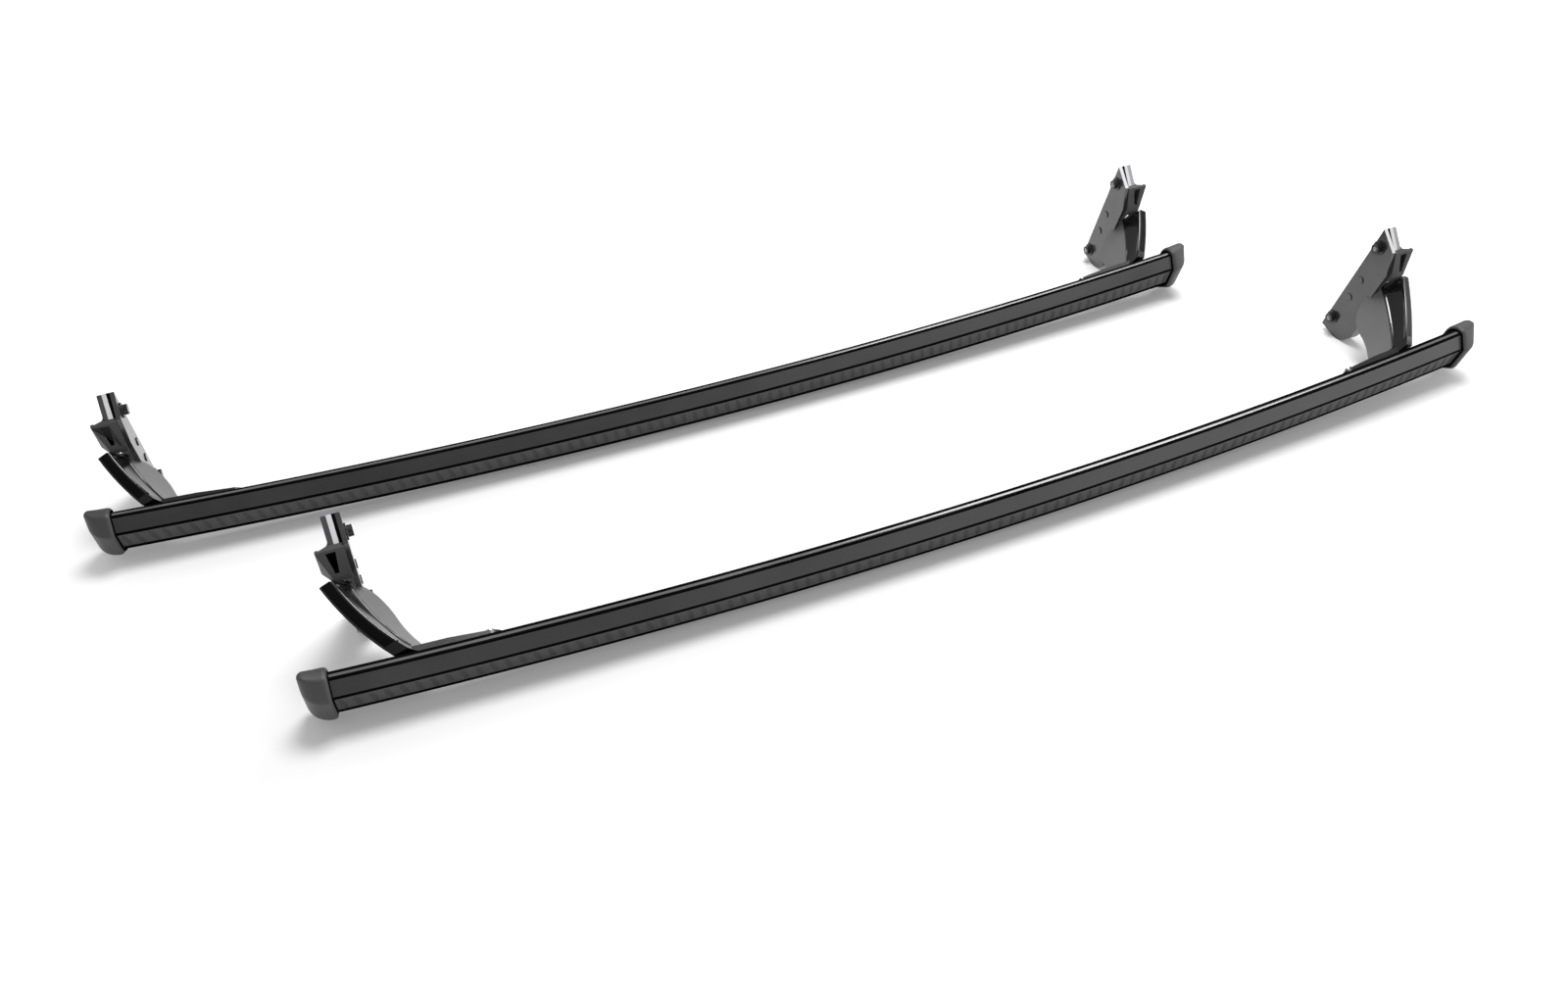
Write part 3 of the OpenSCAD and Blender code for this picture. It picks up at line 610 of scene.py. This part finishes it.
def coverPoint(bar, side, mark, rowShare, isInner):
    look = legCover
    kind, share, depth = mark
    root = halfHeight + 1 + 5.6 - feet[bar]["legHeight"] - 1
    topLow, topHigh = (-9.5, -12.2) if kind != "back" else (-10.9, -13.6)
    across = share if kind == "face" else 1 - share if kind == "back" else 1.0
    top = topLow + (topHigh - topLow) * across
    lowY = lowEdge(top) - (look["backReach"] if kind == "back" else 0)
    if bladePoint(bar, side, lowY + (highEdge(top) - lowY) * across, top, depth)[1] > 45.6:
        top = min(top, look["topCut"])
    v = top + (root - top) * rowShare
    lowY = lowEdge(v) - (look["backReach"] if kind == "back" else 0)
    reach = highEdge(v) - lowY
    y = lowY + reach * across
    if isInner:
        y = min(y, highEdge(v) - look["wall"])
        return bladePoint(bar, side, y, v, depth)[2]
    if kind == "face":
        near = min(y - lowY, highEdge(v) - y, (top - v) if rowShare < 0.5 else 99)
        bowl = look["hollow"] * math.sin(math.pi * across)
        lift = max(rimLift(near), 0.0) - bowl * (1 - rimLift(near) / look["rim"])
        edge = min(y - lowY, highEdge(v) - y, (top - v) if rowShare < 0.5 else 99)
        drop = max(0.0, look["corner"] - edge)
        lift -= look["corner"] - math.sqrt(max(0.0, look["corner"] ** 2 - drop ** 2))
        depth = -lift
    return bladePoint(bar, side, y, v, depth)[2]


def makeCover(bar, side):
    look = legCover
    outer, inner = coverChains()
    shares = [0.0, 0.006, 0.014, 0.024, 0.036, 0.05, 0.066]
    shares += [0.066 + (1 - 0.066) * i / look["rowSteps"] for i in range(1, look["rowSteps"] + 1)]
    verts = []
    for share in shares:
        verts += [coverPoint(bar, side, mark, share, False) for mark in outer]
        verts += [coverPoint(bar, side, mark, share, True) for mark in reversed(inner)]
    half = len(outer)
    around = 2 * half
    faces = loftFaces(len(shares), around, capEnds=False)
    for base in (0, (len(shares) - 1) * around):
        for k in range(half - 1):
            faces.append((base + k, base + k + 1, base + around - 2 - k, base + around - 1 - k))
    name = f"{bar}{side.capitalize()}LegCover"
    # the edge wall takes coverShade, painted shade
    kinds = [int(k < half - 1 and outer[k + 1][0] == "edge") for _ in range(len(shares) - 1) for k in range(around)]
    kinds += [0] * (len(faces) - len(kinds))
    piece = makePiece(name, verts, faces, [finishes["glossCover"], finishes["coverShade"]], 42, kinds)
    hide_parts(f"{bar}_{side}_leg_cover")
    return piece


# Rail hook: a matte block with a saddle for the rail, a beaded lip and a pocket in its slanted underside; its end face
# is painted pale and black, and the left feet's pocket black, as painted highlight and painted shade
railHook = dict(
    profile=((11.5, -17), (11.5, 19.7), (4.5, 19.7), (4.5, 0), (-0.03, 0), (-0.03, 2.6), (-0.35, 1.5), (-1.1, 0.6),
             (-2.6, -0.35), (-8.2, -2.7), (-9.2, -2.1), (-10.4, -1.8), (-11.4, -2.4), (-11.9, -3.8), (-11.6, -6.0),
             (-4, -17)),
    outline=((46, -19), (53, -17), (77, -5.2), (76, 0), (89.8, 19.7), (46, 19.7)),
    pocket=((-0.8, 56.5), (2.4, 56.5), (4.0, 74.6), (-3.8, 74.6)), pocketTop=-3.6,
    holeRadius=5.5, holeW=70.0, holeV=12.5, bandSplit=8.7, rounding=0.7,
)


def makeHook(bar, side):
    look = railHook
    mesh = solidPrism(look["profile"], 45.9, 95.0, lambda e, v, w: footPoint(bar, side, e, w, v))
    block = solidPrism(look["outline"], -30.0, 30.0, lambda w, v, e: footPoint(bar, side, e, w, v))
    mesh = joinSolids(mesh, block, "INTERSECT")
    pocket = solidPrism(look["pocket"], -25.0, look["pocketTop"], lambda e, w, v: footPoint(bar, side, e, w, v))
    mesh = joinSolids(mesh, pocket, "DIFFERENCE")
    ring = arcPoints((look["holeW"], look["holeV"]), look["holeRadius"], 0, 345, 23)
    hole = solidPrism(ring, -30.0, 30.0, lambda w, v, e: footPoint(bar, side, e, w, v))
    mesh = joinSolids(mesh, hole, "DIFFERENCE")
    name = f"{bar}{side.capitalize()}RailHook"
    mesh.name = name
    shape = bmesh.new()
    shape.from_mesh(mesh)
    bmesh.ops.remove_doubles(shape, verts=shape.verts, dist=0.000004)
    split = footPoint(bar, side, look["bandSplit"], 0, 0)
    bmesh.ops.bisect_plane(shape, geom=shape.verts[:] + shape.edges[:] + shape.faces[:], dist=0.000001,
                           plane_co=split, plane_no=(footPoint(bar, side, 1, 0, 0) - footPoint(bar, side, 0, 0, 0)))
    shape.to_mesh(mesh)
    shape.free()
    mesh.materials.clear()
    for finish in ("hookPlastic", "paintedHighlight", "barShadowLine"):
        mesh.materials.append(finishes[finish])
    local = footFrame(bar, side)
    endNormal = (footPoint(bar, side, 0, 19.7, -13.8) - footPoint(bar, side, 0, 0, 0)).normalized()

    def choose(middle, face):
        e, w, v = middle
        # end face: painted highlight on the lip's side of the split, painted shade beyond it
        if v > 1 and w > 75 and Vector(face.normal).dot(endNormal) > 0.9:
            return 1 if e < look["bandSplit"] else 2
        # on the left feet the pocket is painted black: painted shade
        inPocket = side == "left" and 56.4 < w < 74.8 and v < look["pocketTop"] + 0.05 and -3.9 < e < 4.1
        deep = v > -17 + (w - 53) * 0.4917 + 0.35
        return 2 if inPocket and deep else 0

    markFaces(mesh, local, choose)
    piece = finishPiece(name, mesh, 38)
    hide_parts(f"{bar}_{side}_rail_hook")
    return roundEdges(piece, look["rounding"], 2, 40)


# Feet: the other pieces keep the modelled shape, with rounded edges and finishes by area, some areas painted pale as
# painted highlight
softParts = {
    "leg": ("leg_grey", ("legPaint", "flangeBlack"), 0.9, 3),
    "rail_pad": ("pad_rubber", ("padPaintedHighlight", "padPaintedHighlight"), 0.7, 2),
    "clamp_plate": ("plate_black", ("platePaint", "paintedHighlight"), 0.6, 2),
    "rail_screws": ("screw_steel", ("screwBlack", "paintedHighlight"), 0.4, 2),
    "plate_rivets": ("screw_steel", ("platePaint",), 0.35, 2),
    "base_screws": ("base_screw_steel", ("screwZinc",), 0.4, 2),
}
# on the left feet the plate's end keeps its paint and the pad's end is dark rubber, without painted highlight
leftLooks = {"rail_pad": ("padPaintedHighlight", "padDark"), "clamp_plate": ("platePaint", "platePaint")}
plainParts = {"base_gasket": "gasketRubber", "rivet_nuts": "screwZinc"}


def chooseLeg(bar):
    flangeTop = halfHeight + 7.2 - feet[bar]["legHeight"]
    return lambda middle, face: int(middle[2] < flangeTop)


def choosePlate(bar):
    # the plate's end takes the painted highlight
    return lambda middle, face: int(middle[1] > 74 and middle[2] > 0.5 and 11.7 < middle[0] < 15.4)


# beyond w 70 the left feet's pad is dark rubber, elsewhere pale grey painted highlight
def choosePad(bar):
    return lambda middle, face: int(middle[1] > 70)


def chooseScrew(bar):
    def choose(middle, face):
        e, w, v = middle
        off = min(math.hypot(w - 70, v - 12.5), math.hypot(w + 40, v - 12.5))
        # the screws' sockets take the painted highlight
        return int(17.5 < e < 20.9 and off < 2.7)
    return choose


areaRules = {"leg": chooseLeg, "clamp_plate": choosePlate, "rail_pad": choosePad, "rail_screws": chooseScrew}
for bar in places:
    for side in ("left", "right"):
        makeCover(bar, side)
        makeHook(bar, side)
        local = footFrame(bar, side)
        for part, (slotName, looks, width, segments) in softParts.items():
            words = "".join(word.capitalize() for word in part.split("_"))
            rule = areaRules[part](bar) if part in areaRules else None
            if side == "left" and part in leftLooks:
                looks = leftLooks[part]
            roundedCopy(f"{bar}_{side}_{part}", f"{bar}{side.capitalize()}{words}", width,
                        [finishes[look] for look in looks], segments, local=local, choose=rule)
        for part, finish in plainParts.items():
            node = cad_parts[f"{bar}_{side}_{part}"]
            node.data.materials.clear()
            node.data.materials.append(finishes[finish])
print("feet made")


# Studio: white floor, soft light and the camera at the photograph's viewing angle
studio = dict(
    floorSize=14.0, floorGrey=0.8, nearGlow=0.15, farGlow=0.8, nearReach=0.55, farReach=1.2, mirrorGlow=0.2,
    worldStrength=0.45, mirrorLow=0.25, mirrorHigh=2.8,
    keyPower=46.0, keySize=(1.1, 0.9), keyPlace=(0.4, 0.15, 2.35),
    backPower=16.0, backSize=(1.4, 0.8), backPlace=(1.5, 1.3, 1.9),
)


def makeFloor():
    mesh = bpy.data.meshes.new("floor")
    s = studio["floorSize"] / 2
    mesh.from_pydata([(-s, -s, 0), (s, -s, 0), (s, s, 0), (-s, s, 0)], [], [(0, 1, 2, 3)])
    floor = bpy.data.objects.new("floor", mesh)
    bpy.context.scene.collection.objects.link(floor)
    material = bpy.data.materials.new("whiteFloor")
    material.use_nodes = True
    nodes, links = material.node_tree.nodes, material.node_tree.links
    shader = nodes["Principled BSDF"]
    grey = studio["floorGrey"]
    shader.inputs["Base Color"].default_value = (grey, grey, grey, 1)
    shader.inputs["Roughness"].default_value = 0.9
    shader.inputs["Specular IOR Level"].default_value = 0.0
    shader.inputs["Emission Color"].default_value = (1, 1, 1, 1)
    path = nodes.new("ShaderNodeLightPath")
    spot = nodes.new("ShaderNodeTexCoord")  # the floor's far parts glow to white, beyond the lamps' reach
    away = nodes.new("ShaderNodeVectorMath")
    away.operation = "LENGTH"
    fade = nodes.new("ShaderNodeMapRange")
    fade.interpolation_type = "SMOOTHSTEP"
    fade.inputs["From Min"].default_value = studio["nearReach"]
    fade.inputs["From Max"].default_value = studio["farReach"]
    fade.inputs["To Min"].default_value = studio["nearGlow"]
    fade.inputs["To Max"].default_value = studio["farGlow"]
    seen = nodes.new("ShaderNodeMath")
    seen.operation = "MULTIPLY"
    glow = nodes.new("ShaderNodeMath")
    glow.operation = "MULTIPLY_ADD"
    glow.inputs[1].default_value = studio["mirrorGlow"]
    links.new(spot.outputs["Object"], away.inputs[0])
    links.new(away.outputs["Value"], fade.inputs["Value"])
    links.new(path.outputs["Is Camera Ray"], seen.inputs[0])
    links.new(fade.outputs["Result"], seen.inputs[1])
    links.new(path.outputs["Is Glossy Ray"], glow.inputs[0])
    links.new(seen.outputs["Value"], glow.inputs[2])
    links.new(glow.outputs["Value"], shader.inputs["Emission Strength"])
    mesh.materials.append(material)
    return floor


def makeWorld():
    world = bpy.data.worlds.new("studioWorld")
    world.use_nodes = True
    bpy.context.scene.world = world
    nodes, links = world.node_tree.nodes, world.node_tree.links
    background = nodes["Background"]
    background.inputs["Color"].default_value = (1, 1, 1, 1)
    place = nodes.new("ShaderNodeTexCoord")
    parts = nodes.new("ShaderNodeSeparateXYZ")
    sweep = nodes.new("ShaderNodeMapRange")  # what the gloss reflects: light in front to the right, else dark
    sweep.inputs["From Min"].default_value = 0.1
    sweep.inputs["From Max"].default_value = 0.7
    sweep.inputs["To Min"].default_value = studio["mirrorLow"]
    sweep.inputs["To Max"].default_value = studio["mirrorHigh"]
    ahead = nodes.new("ShaderNodeMapRange")
    ahead.inputs["From Min"].default_value = 0.1
    ahead.inputs["From Max"].default_value = -0.4
    front = nodes.new("ShaderNodeMix")
    front.inputs["A"].default_value = studio["mirrorLow"]
    path = nodes.new("ShaderNodeLightPath")
    mirror = nodes.new("ShaderNodeMix")
    mirror.inputs["A"].default_value = studio["worldStrength"]
    level = nodes.new("ShaderNodeMix")
    level.inputs["B"].default_value = 1.0
    links.new(place.outputs["Generated"], parts.inputs["Vector"])
    links.new(parts.outputs["X"], sweep.inputs["Value"])
    links.new(path.outputs["Is Glossy Ray"], mirror.inputs["Factor"])
    links.new(parts.outputs["Y"], ahead.inputs["Value"])
    links.new(ahead.outputs["Result"], front.inputs["Factor"])
    links.new(sweep.outputs["Result"], front.inputs["B"])
    links.new(front.outputs["Result"], mirror.inputs["B"])
    links.new(path.outputs["Is Camera Ray"], level.inputs["Factor"])
    links.new(mirror.outputs["Result"], level.inputs["A"])
    links.new(level.outputs["Result"], background.inputs["Strength"])


def makeLamp(name, power, size, place, target):
    data = bpy.data.lights.new(name, "AREA")
    data.shape = "RECTANGLE"
    data.size, data.size_y = size
    data.energy = power
    lamp = bpy.data.objects.new(name, data)
    bpy.context.scene.collection.objects.link(lamp)
    lamp.location = place
    lamp.rotation_euler = (Vector(target) - Vector(place)).to_track_quat("-Z", "Y").to_euler()
    return lamp


camera = dict(
    place=(-0.4333, -1.0392, 0.7909), heading=math.radians(21.33), down=math.radians(37.176),
    roll=math.radians(-3.08), lens=30.64,
)


def makeCamera():
    data = bpy.data.cameras.new("camera")
    data.sensor_width = 36.0
    data.lens = camera["lens"]
    data.clip_start = 0.01
    data.clip_end = 50.0
    shot = bpy.data.objects.new("camera", data)
    bpy.context.scene.collection.objects.link(shot)
    heading, down, roll = camera["heading"], camera["down"], camera["roll"]
    ahead = Vector((math.cos(down) * math.sin(heading), math.cos(down) * math.cos(heading), -math.sin(down)))
    up = Vector((math.sin(down) * math.sin(heading), math.sin(down) * math.cos(heading), math.cos(down)))
    right = Vector((math.cos(heading), -math.sin(heading), 0))
    rolledRight = math.cos(roll) * right + math.sin(roll) * up
    rolledUp = -math.sin(roll) * right + math.cos(roll) * up
    turn = Matrix((rolledRight, rolledUp, -ahead)).transposed()
    shot.matrix_world = Matrix.Translation(camera["place"]) @ turn.to_4x4()
    bpy.context.scene.camera = shot


makeFloor()
makeWorld()
makeLamp("keyLamp", studio["keyPower"], studio["keySize"], studio["keyPlace"], (0, 0, 0))
makeLamp("backLamp", studio["backPower"], studio["backSize"], studio["backPlace"], (0, 0, 0))
makeCamera()
bpy.context.scene.view_settings.view_transform = "Standard"
print("studio made")
